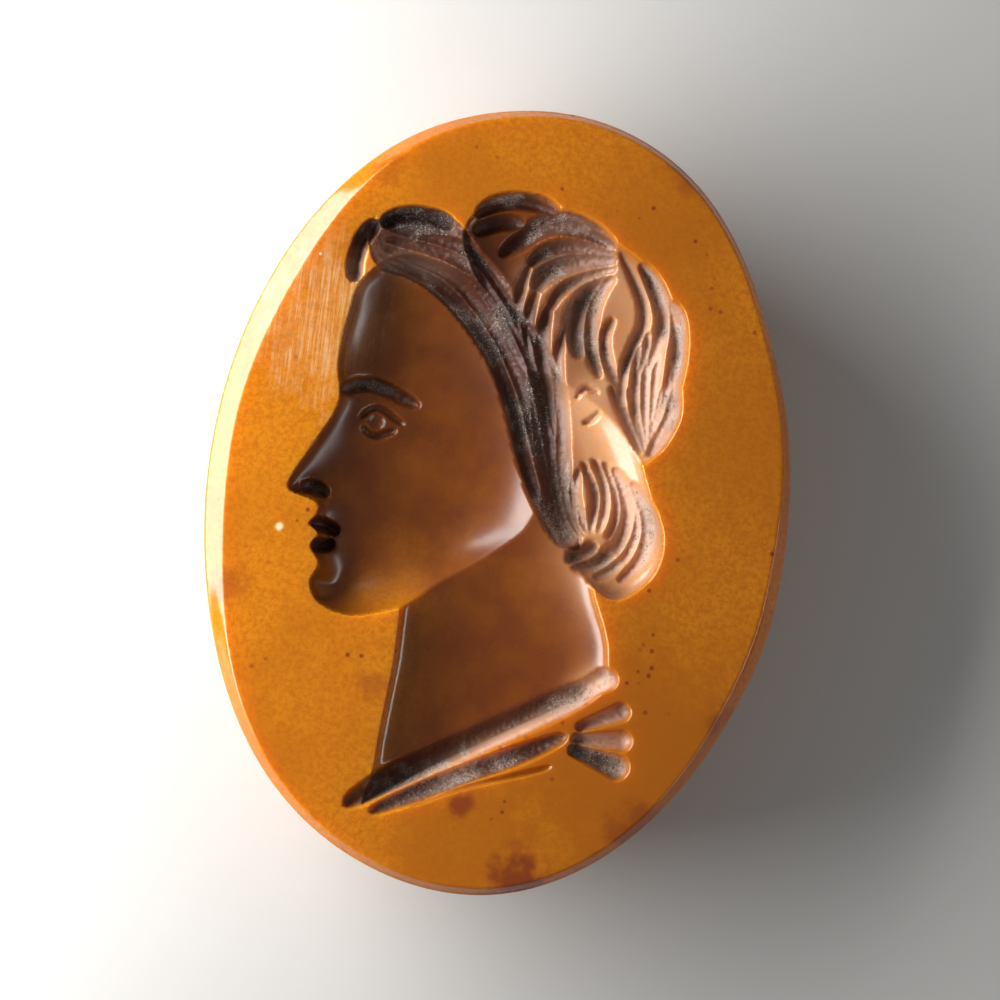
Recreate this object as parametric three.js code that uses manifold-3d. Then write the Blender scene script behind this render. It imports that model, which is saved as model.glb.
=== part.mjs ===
// An oval ring stone of honey-coloured jasper, an intaglio: a bust facing left is cut down into its face.
// Millimetres. X runs across the stone, Y along it towards the top of the head, Z up out of the carved face.
// The stone lies on its flat back, and the origin is the middle of its underside.
import * as THREE from "three";
import { mergeVertices } from "three/addons/utils/BufferGeometryUtils.js";
import Module from "manifold-3d";

// Driving sizes of the stone.
const LENGTH = 15.1; // of the true oval; the rim's dips take a tenth off it
const WIDTH = 11.1;
const THICKNESS = 3.0;
const BACK_INSET = 0.95; // how far the back's edge lies inside the girdle
const BACK_EDGE_ROUND = 0.14;
const GIRDLE_DROP = 0.3; // from the face down to the widest line
const GIRDLE_ROUND = 0.07;
const RIM_STEPS = 96;

// The stone was shaped by hand: its rim leaves the true oval by these rises, in mm, at these angles.
const RIM_RISES = [
  { at: 66, rise: 0.1, spread: 15 },
  { at: 97, rise: -0.08, spread: 13 },
  { at: 38, rise: -0.06, spread: 14 },
  { at: 232, rise: 0.06, spread: 18 },
  { at: 262, rise: -0.06, spread: 14 },
  { at: 340, rise: 0.06, spread: 14 },
];
// The bevel between face and girdle is ground in uneven facets: a narrow strip that widens at these angles.
const BEVEL_WIDTH = 0.1;
const BEVEL_FACETS = [
  { at: 140, rise: 0.29, spread: 26 },
  { at: 190, rise: 0.22, spread: 30 },
  { at: 338, rise: 0.13, spread: 34 },
];

// Driving sizes of the bust. The face keeps the canon of thirds: hairline, brow, nose and chin lie evenly.
const CHIN_Y = -2.5;
const HAIRLINE_Y = 3.8;
const THIRD = (HAIRLINE_Y - CHIN_Y) / 3;
const BROW_Y = CHIN_Y + 2 * THIRD;
const NOSE_Y = CHIN_Y + THIRD;
const MOUTH_Y = CHIN_Y + (2 / 3) * THIRD;
const FACE_X = -3.4; // the upright that forehead, lips and chin touch
const NOSE_LENGTH = 0.3 * THIRD; // how far the tip stands out from that upright

// The broad spoon-shaped hollows: how deep each is, and how wide the round wall that runs down to its floor.
const FACE = { depth: 0.88, wall: 1.7 };
const SKULL = { depth: 0.5, wall: 0.9 };
const KNOT = { depth: 0.68, wall: 0.65 };
const NECK = { depth: 0.62, wall: 1.9 };
const ROLL = { depth: 0.3, wall: 0.3 };

// Grooves of the small wheels: half their width, and how deep they go into what is cut already.
const ROLL_LOCK = { half: 0.17, depth: 0.17, taper: 0.25 };
const CROWN_LOCK = { half: 0.16, depth: 0.28, taper: 0.4 };
const BACK_LOCK = { half: 0.12, depth: 0.24, taper: 0.4 };
const KNOT_LOCK = { half: 0.13, depth: 0.22, taper: 0.4 };
const SHORT_LOCK = { half: 0.14, depth: 0.22, taper: 0.35 };
const THICK_LOCK = { half: 0.19, depth: 0.34, taper: 0.25 };
const BROW = { half: 0.17, depth: 0.22, taper: 0.35 };
const EYEBALL = { radius: 0.2, depth: 0.1 };
const EYELID = { half: 0.09, depth: 0.12, taper: 0.35 };
const NOSTRIL = { half: 0.17, depth: 0.28, taper: 0.5 };
const LIP = { half: 0.15, depth: 0.3, taper: 0.35 };
const WIDE_FOLD = { half: 0.3, depth: 0.3, taper: 0.25 };
const NARROW_FOLD = { half: 0.23, depth: 0.26, taper: 0.35 };
const SHORT_FOLD = { half: 0.22, depth: 0.2, taper: 0.35 };

const CROWN = [1.7, 4.95]; // where the locks of the crown meet
const NAPE = [2.6, 1.3]; // where the locks of the back of the head meet

// The cutter of the hollows covers a square, which is halved again and again until its facets are close.
const CUT_SIDE = 12.8;
const CUT_CENTRE = [-0.4, -0.25];
const CUT_HALVINGS = 8; // of each side, into the finest cells
const CUT_TOLERANCE = 0.06; // how far a facet may lie off the form
const WALL_SLOPE = 6; // of the steep wall where the neck ends
const CLEAR_ABOVE = 0.2; // how far over the face the grooves' cutters reach
const CUTTER_TOP = 1; // how far over the face the hollows' cutter reaches
const SMALLEST_CUT = 0.004;
const MERGE_WITHIN = 1e-4;

const OUTLINE_STEPS = 4;
const WHEEL_STEP = 0.4; // how far a wheel moves between the sections of its groove
const WHEEL_SIDES = [-1, -0.55, 0, 0.55, 1]; // the corners across a groove, in half widths
const SMALLEST_SWELL = 0.3; // how wide a groove is where the wheel enters the stone, against its middle
const BALL_SIDES = 14;
const BALL_STEPS = 3;

const radians = THREE.MathUtils.degToRad;

// A sum of soft bumps round the rim.
function bumps(list, degrees) {
  return list.reduce((sum, { at, rise, spread }) => {
    const turn = ((degrees - at + 540) % 360) - 180;
    return sum + rise * Math.exp(-((turn / spread) ** 2));
  }, 0);
}

// The rim's distance from the centre, in the direction of an angle in degrees.
function rimRadius(degrees) {
  const a = radians(degrees);
  const oval = 1 / Math.hypot(Math.cos(a) / (WIDTH / 2), Math.sin(a) / (LENGTH / 2));
  return oval + bumps(RIM_RISES, degrees);
}

// A smooth curve through points, as short straight steps. The last point is left out of a closed one.
function smoothCurve(points, steps, closed) {
  const n = points.length;
  const at = (i) => (closed ? points[(i + n) % n] : points[Math.max(0, Math.min(n - 1, i))]);
  const made = [];
  for (let i = 0; i < (closed ? n : n - 1); i++) {
    for (let k = 0; k < steps; k++) {
      const t = k / steps;
      made.push(
        [0, 1].map((c) => {
          const [p, q, r, s] = [at(i - 1)[c], at(i)[c], at(i + 1)[c], at(i + 2)[c]];
          const bend = (2 * p - 5 * q + 4 * r - s) * t ** 2 + (3 * q - p - 3 * r + s) * t ** 3;
          return q + ((r - p) * t + bend) / 2;
        }),
      );
    }
  }
  if (!closed) made.push(points[n - 1]);
  return made;
}

// How far a place is from a closed line of steps.
function distanceTo(line, x, y) {
  let best = Infinity;
  for (let i = 0; i < line.length; i++) {
    const [ax, ay] = line[i];
    const [bx, by] = line[(i + 1) % line.length];
    const [dx, dy] = [bx - ax, by - ay];
    const t = Math.max(0, Math.min(1, ((x - ax) * dx + (y - ay) * dy) / (dx * dx + dy * dy)));
    best = Math.min(best, Math.hypot(x - ax - t * dx, y - ay - t * dy));
  }
  return best;
}

function isInside(line, x, y) {
  let inside = false;
  for (let i = 0, j = line.length - 1; i < line.length; j = i++) {
    const [ax, ay] = line[i];
    const [bx, by] = line[j];
    if (ay > y !== by > y && x < ((bx - ax) * (y - ay)) / (by - ay) + ax) inside = !inside;
  }
  return inside;
}

// A spoon-shaped hollow: a round wall runs down from the outline to the floor. It is a function that gives
// the depth at a place, and is negative outside the outline.
function hollow({ depth, wall }, points) {
  const line = smoothCurve(points, OUTLINE_STEPS, true);
  return (x, y) => {
    const distance = distanceTo(line, x, y);
    if (!isInside(line, x, y)) return -distance;
    const t = Math.min(distance / wall, 1);
    return depth * Math.sqrt(1 - (1 - t) ** 2);
  };
}

// The part of a hollow that lies above a straight line, with a steep wall along that line.
function above([x0, y0], [x1, y1], cut) {
  const length = Math.hypot(x1 - x0, y1 - y0);
  return (x, y) => {
    const height = ((x1 - x0) * (y - y0) - (y1 - y0) * (x - x0)) / length;
    return Math.min(cut(x, y), WALL_SLOPE * height);
  };
}

const face = hollow(FACE, [
  [FACE_X + 0.3, HAIRLINE_Y + 0.1],
  [FACE_X + 0.06, HAIRLINE_Y - 0.35 * THIRD],
  [FACE_X, BROW_Y + 0.22 * THIRD],
  [FACE_X + 0.1, BROW_Y - 0.14 * THIRD],
  [FACE_X - 0.5 * NOSE_LENGTH, NOSE_Y + 0.42 * THIRD],
  [FACE_X - 0.97 * NOSE_LENGTH, NOSE_Y + 0.13 * THIRD],
  [FACE_X - 0.9 * NOSE_LENGTH, NOSE_Y + 0.01 * THIRD],
  [FACE_X - 0.06, NOSE_Y - 0.06 * THIRD],
  [FACE_X - 0.02, NOSE_Y - 0.16 * THIRD],
  [FACE_X - 0.14, MOUTH_Y + 0.08 * THIRD],
  [FACE_X + 0.05, MOUTH_Y],
  [FACE_X - 0.06, MOUTH_Y - 0.12 * THIRD],
  [FACE_X + 0.14, MOUTH_Y - 0.27 * THIRD],
  [FACE_X + 0.02, CHIN_Y + 0.22 * THIRD],
  [FACE_X + 0.3, CHIN_Y + 0.03 * THIRD],
  [FACE_X + 1.1, CHIN_Y - 0.02 * THIRD],
  [FACE_X + 2.6, CHIN_Y + 0.27 * THIRD],
  [FACE_X + 3.8, CHIN_Y + 0.62 * THIRD],
  [FACE_X + 4.4, NOSE_Y],
  [FACE_X + 4.1, BROW_Y],
  [FACE_X + 2.9, HAIRLINE_Y],
  [FACE_X + 1.2, HAIRLINE_Y + 0.3 * THIRD],
]);

// The hair of the crown and the back of the head runs out to a point at the nape.
const skull = hollow(SKULL, [
  [-1.35, 4.9],
  [-1.15, 5.4],
  [-0.3, 5.8],
  [0.6, 5.55],
  [1.7, 5.1],
  [2.5, 4.55],
  [3.05, 3.7],
  [3.16, 2.8],
  [3.1, 2.0],
  [NAPE[0] + 0.08, NAPE[1] - 0.25],
  [2.0, 1.35],
  [1.2, 1.5],
  [0.3, 2.2],
  [-0.35, 3.2],
  [-1.0, 4.2],
]);

const knot = hollow(KNOT, [
  [0.3, 2.9],
  [1.2, 2.55],
  [1.93, 2.15],
  [2.45, 1.35],
  [2.85, 0.45],
  [3.2, -0.25],
  [3.14, -0.95],
  [2.7, -1.48],
  [2.25, -1.58],
  [1.6, -1.12],
  [1.1, -0.85],
  [0.8, -0.2],
  [0.5, 0.7],
  [0.2, 1.8],
]);

// The neck ends in a steep wall under the cloak's wide fold.
const neck = above(
  [-2.08, -6.24],
  [2.62, -3.24],
  hollow(NECK, [
    [-1.6, -1.0],
    [-1.6, -3.2],
    [-1.7, -5.2],
    [-1.6, -7.4],
    [2.0, -7.4],
    [2.7, -5.0],
    [2.47, -2.82],
    [2.33, -2.2],
    [1.95, -1.28],
    [1.6, 0.4],
    [-1.2, 0.4],
  ]),
);

// The thick roll of hair that frames the face from the forehead down to the nape.
const roll = hollow(ROLL, [
  [-2.95, 4.12],
  [-2.3, 3.98],
  [-1.75, 3.76],
  [-1.15, 3.3],
  [-0.5, 2.55],
  [-0.1, 1.75],
  [0.3, 0.75],
  [0.75, -0.1],
  [1.25, -0.68],
  [1.7, -0.66],
  [1.55, 0.0],
  [1.3, 1.0],
  [1.1, 2.0],
  [0.6, 3.0],
  [-0.1, 3.7],
  [-0.85, 4.5],
  [-1.5, 5.15],
  [-2.1, 5.3],
  [-2.9, 5.05],
  [-3.12, 4.6],
]);

// The broad hollows come first, and the roll is cut into their floor.
const ROUNDS = [[face, skull, knot, neck], [roll]];

// How deep the hollows are at a place on the face. It is below zero where nothing is cut.
function hollowDepth(x, y) {
  const deepest = ROUNDS.map((cuts) => Math.max(...cuts.map((cut) => cut(x, y))));
  const reached = deepest.filter((depth) => depth > 0);
  return reached.length ? reached.reduce((sum, depth) => sum + depth) : Math.max(...deepest);
}

// The solid that a small wheel takes out along a line: round below, tapered at both ends, open above. It
// follows the floor of the hollows.
function groove({ half, depth, taper }, points) {
  const path = new THREE.CatmullRomCurve3(points.map(([x, y]) => new THREE.Vector3(x, y, 0)));
  const steps = Math.max(4, Math.round(path.getLength() / WHEEL_STEP));
  const positions = [];
  for (let i = 0; i <= steps; i++) {
    const [centre, along] = [path.getPointAt(i / steps), path.getTangentAt(i / steps)];
    const end = Math.min(1, Math.min(i, steps - i) / steps / taper);
    const swell = SMALLEST_SWELL + (1 - SMALLEST_SWELL) * Math.sqrt(1 - (1 - end) ** 2);
    const floor = THICKNESS - Math.max(0, hollowDepth(centre.x, centre.y));
    const corner = (side, z) => positions.push(
      centre.x - side * swell * half * along.y,
      centre.y + side * swell * half * along.x,
      z,
    );
    WHEEL_SIDES.forEach((side) => corner(side, floor - swell * depth * (1 - side ** 2)));
    corner(1, THICKNESS + CLEAR_ABOVE);
    corner(-1, THICKNESS + CLEAR_ABOVE);
  }
  return tubeGeometry(positions, WHEEL_SIDES.length + 2);
}

// A closed tube through rings of points, whose two ends are flat.
function tubeGeometry(positions, sides) {
  const rings = positions.length / 3 / sides;
  const indices = [];
  for (let r = 0; r < rings - 1; r++) {
    for (let k = 0; k < sides; k++) {
      const [low, next] = [r * sides + k, r * sides + ((k + 1) % sides)];
      indices.push(low, next, next + sides, low, next + sides, low + sides);
    }
  }
  const end = (rings - 1) * sides;
  for (let k = 1; k < sides - 1; k++) indices.push(0, k + 1, k, end, end + k, end + k + 1);
  return new THREE.BufferGeometry()
    .setAttribute("position", new THREE.BufferAttribute(new Float32Array(positions), 3))
    .setIndex(indices);
}

// A comb of grooves: each lies a little further from the first line towards the last one.
function comb(wheel, count, first, last) {
  return Array.from({ length: count }, (_, k) => {
    const t = k / (count - 1);
    return groove(
      wheel,
      first.map(([x, y], i) => [x + t * (last[i][0] - x), y + t * (last[i][1] - y)]),
    );
  });
}

// The solid that the ball drill takes out: a round hollow, open above.
function ball([x, y], radius, depth) {
  const floor = THICKNESS - Math.max(0, hollowDepth(x, y));
  const profile = Array.from({ length: BALL_STEPS + 1 }, (_, k) => {
    const share = k / BALL_STEPS;
    return new THREE.Vector2(share * radius, floor - depth * (1 - share ** 2));
  });
  const top = THICKNESS + CLEAR_ABOVE;
  profile.push(new THREE.Vector2(radius, top), new THREE.Vector2(0, top));
  return new THREE.LatheGeometry(profile, BALL_SIDES).rotateX(Math.PI / 2).translate(x, y, 0);
}

const rollLocks = [
  groove(THICK_LOCK, [[-3.28, 3.72], [-3.33, 4.11], [-3.24, 4.57], [-3.0, 4.95]]),
  groove(THICK_LOCK, [[-2.95, 4.9], [-2.5, 5.13], [-2.0, 5.17], [-1.55, 5.05]]),
  ...comb(
    ROLL_LOCK,
    4,
    [[-2.85, 4.28], [-1.6, 3.95], [-0.62, 3.1], [0.0, 2.0], [0.42, 0.95], [0.9, 0.0], [1.5, -0.6]],
    [[-2.75, 4.85], [-1.2, 4.62], [-0.1, 3.55], [0.72, 2.6], [1.05, 1.5], [1.22, 0.5], [1.62, -0.45]],
  ),
];

// Locks that fan out of the crown, forwards over the head and then down behind the roll.
const crownLocks = [
  groove(SHORT_LOCK, [[-1.22, 5.2], [-0.86, 5.53], [-0.25, 5.68], [0.3, 5.52]]),
  groove(SHORT_LOCK, [[-1.15, 5.0], [-0.82, 5.18], [-0.35, 5.22]]),
  ...comb(
    CROWN_LOCK,
    7,
    [[-0.64, 4.61], [-0.15, 5.15], [0.7, 5.36], CROWN],
    [[1.5, 2.9], [1.36, 3.5], [1.42, 4.08], [CROWN[0] - 0.04, CROWN[1] - 0.45]],
  ),
];

// Locks that fall down the back of the head, on both sides of a plain oval, and meet at the nape.
const backLocks = [
  ...comb(
    BACK_LOCK,
    2,
    [[1.62, 4.3], [1.45, 3.6], [1.62, 2.85], [NAPE[0] - 0.4, NAPE[1] + 0.7]],
    [[1.85, 3.65], [1.74, 3.15], [1.98, 2.5], [NAPE[0] - 0.12, NAPE[1] + 0.3]],
  ),
  ...comb(
    BACK_LOCK,
    4,
    [[1.95, 4.5], [2.3, 3.8], [2.22, 2.9], [NAPE[0] - 0.1, NAPE[1] + 0.3]],
    [[2.62, 4.15], [3.0, 3.3], [3.0, 2.3], [NAPE[0] + 0.08, NAPE[1] - 0.05]],
  ),
];

// The knot of hair under the nape, with two curls at its foot.
const knotLocks = [
  ...comb(
    KNOT_LOCK,
    6,
    [[1.2, 1.75], [1.32, 0.9], [1.4, 0.2], [1.8, -0.42]],
    [[2.42, 1.0], [2.82, 0.2], [2.95, -0.55], [2.6, -1.25]],
  ),
  groove(SHORT_LOCK, [[1.35, -0.82], [1.65, -0.76], [1.98, -0.6]]),
  groove(SHORT_LOCK, [[1.65, -1.08], [2.0, -0.98], [2.24, -0.75]]),
];

const EYE = [FACE_X + 0.9, BROW_Y - 0.24 * THIRD];
const fromEye = ([x, y]) => [EYE[0] + x, EYE[1] + y];
const fromBrow = ([x, y]) => [FACE_X + x, BROW_Y + y];
const fromNose = ([x, y]) => [FACE_X + x, NOSE_Y + y];
const fromMouth = ([x, y]) => [FACE_X + x, MOUTH_Y + y];
const features = [
  groove(BROW, [[0.12, -0.04], [0.75, 0.18], [1.7, -0.1]].map(fromBrow)),
  ball(EYE, EYEBALL.radius, EYEBALL.depth),
  groove(EYELID, [[-0.32, 0.02], [0.02, 0.25], [0.55, 0]].map(fromEye)),
  groove(EYELID, [[-0.26, -0.14], [0.05, -0.27], [0.42, -0.1]].map(fromEye)),
  groove(NOSTRIL, [[-0.36, 0.16], [-0.05, 0.17], [0.2, 0.05]].map(fromNose)),
  groove(LIP, [[-0.08, 0.2], [0.2, 0.18], [0.5, 0.08]].map(fromMouth)),
  groove(LIP, [[-0.02, -0.2], [0.2, -0.2], [0.44, -0.1]].map(fromMouth)),
];

// The cloak: two long folds across the shoulders, and three short ones that spread from the clasp.
const wideFold = [[-2.16, -6.12], [-1.38, -5.54], [-0.36, -4.92], [0.68, -4.28], [1.74, -3.62], [2.5, -3.1]];
const narrowFold = [[-1.66, -6.18], [-0.85, -5.71], [-0.06, -5.27], [1.04, -4.72], [1.87, -4.25]];
const firstShortFold = [[2.05, -4.07], [2.5, -3.82], [2.98, -3.62]];
const lastShortFold = [[1.95, -4.5], [2.5, -4.61], [3.1, -4.74]];
const cloak = [
  groove(WIDE_FOLD, wideFold),
  groove(NARROW_FOLD, narrowFold),
  ...comb(SHORT_FOLD, 3, firstShortFold, lastShortFold),
];

// Heights of the cutter on a square grid of cells, and for each grid place how far off the surface would be
// if the triangle whose long side it halves were left whole.
function cutterGrid(cells) {
  const size = cells + 1;
  const heights = new Float32Array(size * size);
  for (let j = 0; j < size; j++) {
    for (let i = 0; i < size; i++) {
      const x = CUT_CENTRE[0] + (i / cells - 0.5) * CUT_SIDE;
      const y = CUT_CENTRE[1] + (j / cells - 0.5) * CUT_SIDE;
      const depth = Math.max(hollowDepth(x, y), -CLEAR_ABOVE);
      heights[j * size + i] = Math.abs(depth) < SMALLEST_CUT ? SMALLEST_CUT : depth;
    }
  }
  const errors = new Float32Array(size * size);
  const triangles = cells * cells * 2 - 2;
  const parents = triangles - cells * cells;
  for (let n = triangles - 1; n >= 0; n--) {
    const [ax, ay, bx, by] = longSide(n + 2, cells);
    const [mx, my] = [(ax + bx) >> 1, (ay + by) >> 1];
    const [cx, cy] = [mx + my - ay, my + ax - mx];
    const middle = my * size + mx;
    const [start, end] = [heights[ay * size + ax], heights[by * size + bx]];
    const slope = (end - start) / ((CUT_SIDE / cells) * Math.hypot(bx - ax, by - ay));
    const off = Math.abs((start + end) / 2 - heights[middle]) / Math.hypot(1, slope);
    errors[middle] = Math.max(errors[middle], off);
    if (n < parents) {
      const left = ((ay + cy) >> 1) * size + ((ax + cx) >> 1);
      const right = ((by + cy) >> 1) * size + ((bx + cx) >> 1);
      errors[middle] = Math.max(errors[middle], errors[left], errors[right]);
    }
  }
  return { size, heights, errors };
}

// The ends of the long side of one right-angled triangle in the tree of halved triangles.
function longSide(id, cells) {
  let [ax, ay, bx, by, cx, cy] = id & 1 ? [0, 0, cells, cells, cells, 0] : [cells, cells, 0, 0, 0, cells];
  while ((id >>= 1) > 1) {
    const [mx, my] = [(ax + bx) >> 1, (ay + by) >> 1];
    if (id & 1) [ax, ay, bx, by] = [cx, cy, ax, ay];
    else [ax, ay, bx, by] = [bx, by, cx, cy];
    [cx, cy] = [mx, my];
  }
  return [ax, ay, bx, by];
}

// The cutter of the hollows: a block over the stone whose underside is the form that they leave.
function hollowsGeometry() {
  const cells = 2 ** CUT_HALVINGS;
  const { size, heights, errors } = cutterGrid(cells);
  const corners = [];
  const split = (ax, ay, bx, by, cx, cy) => {
    const [mx, my] = [(ax + bx) >> 1, (ay + by) >> 1];
    if (Math.abs(ax - cx) + Math.abs(ay - cy) > 1 && errors[my * size + mx] > CUT_TOLERANCE) {
      split(cx, cy, ax, ay, mx, my);
      split(bx, by, cx, cy, mx, my);
    } else corners.push([[ax, ay], [bx, by], [cx, cy]]);
  };
  split(0, 0, cells, cells, cells, 0);
  split(cells, cells, 0, 0, 0, cells);

  const place = ([i, j], top) => [
    CUT_CENTRE[0] + (i / cells - 0.5) * CUT_SIDE,
    CUT_CENTRE[1] + (j / cells - 0.5) * CUT_SIDE,
    top ? THICKNESS + CUTTER_TOP : THICKNESS - heights[j * size + i],
  ];
  const onEdge = ([i0, j0], [i1, j1]) =>
    (i0 === i1 && (i0 === 0 || i0 === cells)) || (j0 === j1 && (j0 === 0 || j0 === cells));
  const faces = [];
  for (const [a, b, c] of corners) {
    faces.push([place(a, false), place(b, false), place(c, false)]);
    faces.push([place(a, true), place(c, true), place(b, true)]);
    for (const [p, q] of [[a, b], [b, c], [c, a]]) {
      if (!onEdge(p, q)) continue;
      faces.push([place(q, false), place(p, false), place(p, true)]);
      faces.push([place(q, false), place(p, true), place(q, true)]);
    }
  }
  const positions = new Float32Array(faces.flat(2));
  return new THREE.BufferGeometry().setAttribute("position", new THREE.BufferAttribute(positions, 3));
}

// The stone before it is carved: rings of the rim's outline from the back, up over the girdle and bevel.
function blankGeometry() {
  const bevel = (degrees) => BEVEL_WIDTH + bumps(BEVEL_FACETS, degrees);
  const rings = [
    { inset: () => BACK_INSET + BACK_EDGE_ROUND, z: 0 },
    { inset: () => BACK_INSET, z: BACK_EDGE_ROUND },
    { inset: () => GIRDLE_ROUND / 2, z: THICKNESS - GIRDLE_DROP - GIRDLE_ROUND },
    { inset: () => 0, z: THICKNESS - GIRDLE_DROP },
    { inset: () => GIRDLE_ROUND / 2, z: THICKNESS - GIRDLE_DROP + GIRDLE_ROUND },
    { inset: (degrees) => GIRDLE_ROUND / 2 + bevel(degrees), z: THICKNESS },
  ];
  const positions = [0, 0, 0];
  for (const { inset, z } of rings) {
    for (let k = 0; k < RIM_STEPS; k++) {
      const degrees = (360 * k) / RIM_STEPS;
      const radius = rimRadius(degrees) - inset(degrees);
      positions.push(radius * Math.cos(radians(degrees)), radius * Math.sin(radians(degrees)), z);
    }
  }
  positions.push(0, 0, THICKNESS);
  const indices = [];
  const last = 1 + (rings.length - 1) * RIM_STEPS;
  for (let k = 0; k < RIM_STEPS; k++) {
    const next = (k + 1) % RIM_STEPS;
    indices.push(0, 1 + next, 1 + k);
    indices.push(last + RIM_STEPS, last + k, last + next);
    for (let r = 0; r < rings.length - 1; r++) {
      const low = 1 + r * RIM_STEPS;
      const high = low + RIM_STEPS;
      indices.push(low + k, low + next, high + next, low + k, high + next, high + k);
    }
  }
  return new THREE.BufferGeometry()
    .setAttribute("position", new THREE.BufferAttribute(new Float32Array(positions), 3))
    .setIndex(indices);
}

const wasm = await Module();
wasm.setup();

function solid(geometry) {
  geometry.deleteAttribute("normal").deleteAttribute("uv");
  const merged = mergeVertices(geometry, MERGE_WITHIN);
  const vertProperties = merged.attributes.position.array;
  return new wasm.Manifold(
    new wasm.Mesh({ numProp: 3, vertProperties, triVerts: new Uint32Array(merged.index.array) }),
  );
}

function geometryOf(made) {
  const { vertProperties, triVerts } = made.getMesh();
  const geometry = new THREE.BufferGeometry()
    .setAttribute("position", new THREE.BufferAttribute(vertProperties, 3))
    .setIndex(new THREE.BufferAttribute(triVerts, 1));
  geometry.computeBoundingBox();
  const middle = geometry.boundingBox.getCenter(new THREE.Vector3());
  geometry.translate(-middle.x, -middle.y, 0);
  geometry.computeVertexNormals();
  return geometry;
}

const jasper = new THREE.MeshStandardMaterial({ color: 0xb9690f, roughness: 0.28, metalness: 0 });

const wheelCuts = [...rollLocks, ...crownLocks, ...backLocks, ...knotLocks, ...features, ...cloak];
const carved = [hollowsGeometry(), ...wheelCuts].reduce(
  (stone, cut) => stone.subtract(solid(cut)),
  solid(blankGeometry()),
);
const gemstone = new THREE.Mesh(geometryOf(carved), jasper);
gemstone.name = "gemstone";

const intaglio = new THREE.Group();
intaglio.add(gemstone);

export default intaglio;
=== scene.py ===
"""An oval ring stone of honey-coloured jasper, with a draped bust facing left cut into its flat face.

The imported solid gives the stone's place and size. Here the stone is cut again, finely, as an engraver would:
broad hollows for the forms, then the grooves of small wheels. Crumbs of old earth lie in the grooves.
"""

import math

import bpy
import numpy as np
from bpy.props import FloatProperty, FloatVectorProperty, IntProperty, PointerProperty
from mathutils import Matrix, Vector
from mathutils.geometry import delaunay_2d_cdt


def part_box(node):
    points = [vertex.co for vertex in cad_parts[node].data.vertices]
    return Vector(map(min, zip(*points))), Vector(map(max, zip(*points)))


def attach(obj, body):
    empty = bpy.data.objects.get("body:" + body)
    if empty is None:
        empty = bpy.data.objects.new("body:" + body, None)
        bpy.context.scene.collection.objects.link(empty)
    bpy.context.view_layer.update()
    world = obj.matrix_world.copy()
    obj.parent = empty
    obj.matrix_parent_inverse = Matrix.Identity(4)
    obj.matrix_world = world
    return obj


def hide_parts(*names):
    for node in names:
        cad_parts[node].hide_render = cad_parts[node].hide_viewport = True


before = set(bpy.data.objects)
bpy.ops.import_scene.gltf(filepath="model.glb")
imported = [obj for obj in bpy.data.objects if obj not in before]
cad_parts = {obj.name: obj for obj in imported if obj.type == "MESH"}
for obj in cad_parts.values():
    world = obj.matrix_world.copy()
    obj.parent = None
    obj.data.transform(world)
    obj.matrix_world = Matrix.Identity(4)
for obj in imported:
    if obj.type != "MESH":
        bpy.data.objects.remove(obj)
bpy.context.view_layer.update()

bl_info = {
    "name": "Carved Ring Stone",
    "version": (1, 0, 0),
    "blender": (4, 5, 0),
    "location": "3D View > Sidebar > Ring Stone",
    "description": "An oval jasper ring stone with a bust cut into its face, and a studio to look at it in",
    "category": "Object",
}

NODE = "gemstone"
BODY = "root"

# Sizes and places of the carving are in millimetres, with the stone's middle at 0, 0.
MM = 0.001
LOWEST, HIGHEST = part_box(NODE)
THICKNESS = (HIGHEST - LOWEST).z / MM

# The rim is an oval with soft rises. Each rise has an angle, a height and a spread.
OVAL_LENGTH = 15.09
OVAL_WIDTH = 11.098
RIM_RISES = (
    (66, 0.1, 15), (97, -0.08, 13), (38, -0.06, 14), (232, 0.06, 18), (262, -0.06, 14), (340, 0.06, 14),
)
BEVEL_WIDTH = 0.1
BEVEL_FACETS = ((140, 0.29, 26), (190, 0.22, 30), (338, 0.13, 34))
BACK_INSET = 0.95
BACK_EDGE_ROUND = 0.14
GIRDLE_DROP = 0.3
GIRDLE_ROUND = 0.07
GIRDLE_SWEEP = 60
ARRIS = 0.03
RIM_STEPS = 384

# The face keeps the drawing-book canon: hairline, brow, nose and chin lie a third apart.
CHIN_Y = -2.5
HAIRLINE_Y = 3.8
THIRD = (HAIRLINE_Y - CHIN_Y) / 3
BROW_Y = CHIN_Y + 2 * THIRD
NOSE_Y = CHIN_Y + THIRD
MOUTH_Y = CHIN_Y + 2 / 3 * THIRD
FACE_X = -3.4
NOSE_LENGTH = 0.3 * THIRD

# Each wheel cuts grooves of a half width and a depth, and tapers them over a share of their length.
BROAD = (0.25, 0.28, 0.4)
MIDDLE = (0.195, 0.24, 0.4)
NARROW = (0.145, 0.18, 0.4)
CURL = (0.07, 0.09, 0.4)
HAIR_LINE = (0.05, 0.04, 0.3)
FRONT_LOCK = (0.19, 0.34, 0.25)
ROLL_LOCK = (0.17, 0.17, 0.25)
BROW = (0.17, 0.22, 0.35)
EYELID = (0.09, 0.12, 0.35)
NOSTRIL = (0.17, 0.28, 0.5)
LIP = (0.15, 0.3, 0.35)
WIDE_FOLD = (0.3, 0.3, 0.3)
NARROW_FOLD = (0.24, 0.25, 0.4)
THIN_FOLD = (0.08, 0.08, 0.4)

# Each form has a depth, and a wall that reaches in from the edge by some width.
FACE_FORM = (0.88, 1.7)
SKULL_FORM = (0.5, 0.9)
KNOT_FORM = (0.68, 0.65)
NECK_FORM = (0.62, 1.9)
ROLL_FORM = (0.3, 0.3)

# Only the grooves deeper than this are fully rough, and only a crust thicker than this carries crumbs.
FULLY_ROUGH = 0.12
LEAST_CRUST = 0.15

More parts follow.
